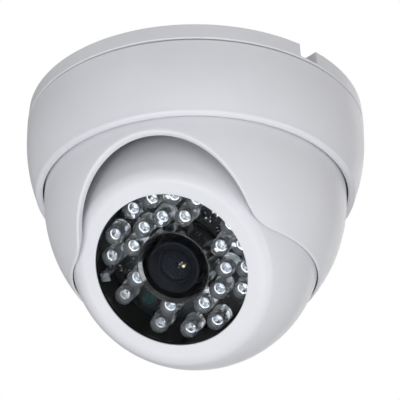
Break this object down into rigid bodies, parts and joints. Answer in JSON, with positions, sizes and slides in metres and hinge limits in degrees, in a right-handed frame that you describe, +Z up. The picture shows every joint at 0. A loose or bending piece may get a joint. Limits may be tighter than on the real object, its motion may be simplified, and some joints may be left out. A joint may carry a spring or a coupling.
{
  "type": "dome cctv camera",
  "caption": "Ceiling dome camera: round base and twist-on cover, turning shell with an arched opening, and an aimed ball holding a lens ringed by infrared lamps behind a window.",
  "frame": {"origin": "centre of the flat ceiling face of the base", "axes": "+Z up out of the ceiling face, so the camera hangs towards -Z; the ball looks towards -Y, turned towards -X and down"},
  "size_m": [0.094, 0.094, 0.0749],
  "materials": {
    "white_shell": "smooth moulded ABS, satin gloss",
    "grey_rubber": "soft moulded rubber",
    "black_rubber": "matt black moulded rubber",
    "acetal": "natural acetal",
    "screw_steel": "zinc-plated",
    "window_clear": "clear polycarbonate, polished",
    "black_plastic": "fine texture, black",
    "black_board": "black solder mask on glass laminate",
    "green_board": "green solder mask on glass laminate",
    "lamp_epoxy": "water-clear epoxy over a silvered cup",
    "photocell_ceramic": "clear-coated ceramic with a winding track",
    "lens_black": "black anodised",
    "lens_glass": "coated optical glass",
    "chip_black": "moulded chip package",
    "socket_plastic": "natural nylon",
    "lead_jacket": "smooth insulated lead"
  },
  "bodies": {
    "base": {"base_plate": "white_shell", "cable_grommet": "grey_rubber"},
    "cover": {"cover_ring": "white_shell"},
    "dome": {"dome_shell": "white_shell", "retainer_ring": "acetal", "retainer_screw_1": "screw_steel", "retainer_screw_2": "screw_steel", "retainer_screw_3": "screw_steel"},
    "socket": {"friction_ring": "black_rubber"},
    "swivel": {"swivel_bush": "acetal"},
    "ball": {"ball_front": "white_shell", "ball_rear": "white_shell", "shell_screw_1": "screw_steel", "shell_screw_2": "screw_steel", "shell_screw_3": "screw_steel", "window": "window_clear", "window_gasket": "black_rubber", "lamp_carrier": "black_plastic", "carrier_screw_1": "screw_steel", "carrier_screw_2": "screw_steel", "carrier_screw_3": "screw_steel", "lamp_board": "black_board", "lamp_01": "lamp_epoxy", "lamp_02": "lamp_epoxy", "lamp_03": "lamp_epoxy", "lamp_04": "lamp_epoxy", "lamp_05": "lamp_epoxy", "lamp_06": "lamp_epoxy", "lamp_07": "lamp_epoxy", "lamp_08": "lamp_epoxy", "lamp_09": "lamp_epoxy", "lamp_10": "lamp_epoxy", "lamp_11": "lamp_epoxy", "lamp_12": "lamp_epoxy", "lamp_13": "lamp_epoxy", "lamp_14": "lamp_epoxy", "lamp_15": "lamp_epoxy", "lamp_16": "lamp_epoxy", "lamp_17": "lamp_epoxy", "lamp_18": "lamp_epoxy", "lamp_19": "lamp_epoxy", "lamp_20": "lamp_epoxy", "lamp_21": "lamp_epoxy", "lamp_22": "lamp_epoxy", "lamp_23": "lamp_epoxy", "lamp_24": "lamp_epoxy", "photocell": "photocell_ceramic", "lens_sleeve": "black_rubber", "lens_holder": "black_plastic", "sensor_board": "green_board", "image_sensor": "chip_black", "processor": "chip_black", "lamp_socket": "socket_plastic", "board_socket": "socket_plastic", "output_socket": "socket_plastic", "lamp_lead": "lead_jacket", "board_screw_1": "screw_steel", "board_screw_2": "screw_steel"},
    "lens": {"lens_barrel": "lens_black", "lens_glass": "lens_glass"}
  },
  "joints": [
    {"name": "cover_twist", "type": "hinge", "parent": "base", "child": "cover", "pos_m": [0, 0, -0.0157], "axis": [0, 0, 1], "range_deg": [-25, 0]},
    {"name": "dome_pan", "type": "hinge", "parent": "base", "child": "dome", "pos_m": [0, 0, -0.0157], "axis": [0, 0, 1], "range_deg": [-175, 175]},
    {"name": "ball_yaw", "type": "hinge", "parent": "dome", "child": "socket", "pos_m": [0, 0, -0.0406], "axis": [0, 0, 1], "range_deg": [-13.4, 26.6]},
    {"name": "ball_tilt", "type": "hinge", "parent": "socket", "child": "swivel", "pos_m": [0, 0, -0.0406], "axis": [0.9041, -0.4274, 0], "range_deg": [-31.4, 43.6]},
    {"name": "ball_roll", "type": "hinge", "parent": "swivel", "child": "ball", "pos_m": [0, 0, -0.0406], "axis": [-0.2947, -0.6235, -0.7242], "range_deg": [-170, 170]},
    {"name": "lens_focus", "type": "hinge", "parent": "ball", "child": "lens", "pos_m": [0, 0, -0.0406], "axis": [-0.2947, -0.6235, -0.7242], "range_deg": [-180, 180]}
  ]
}
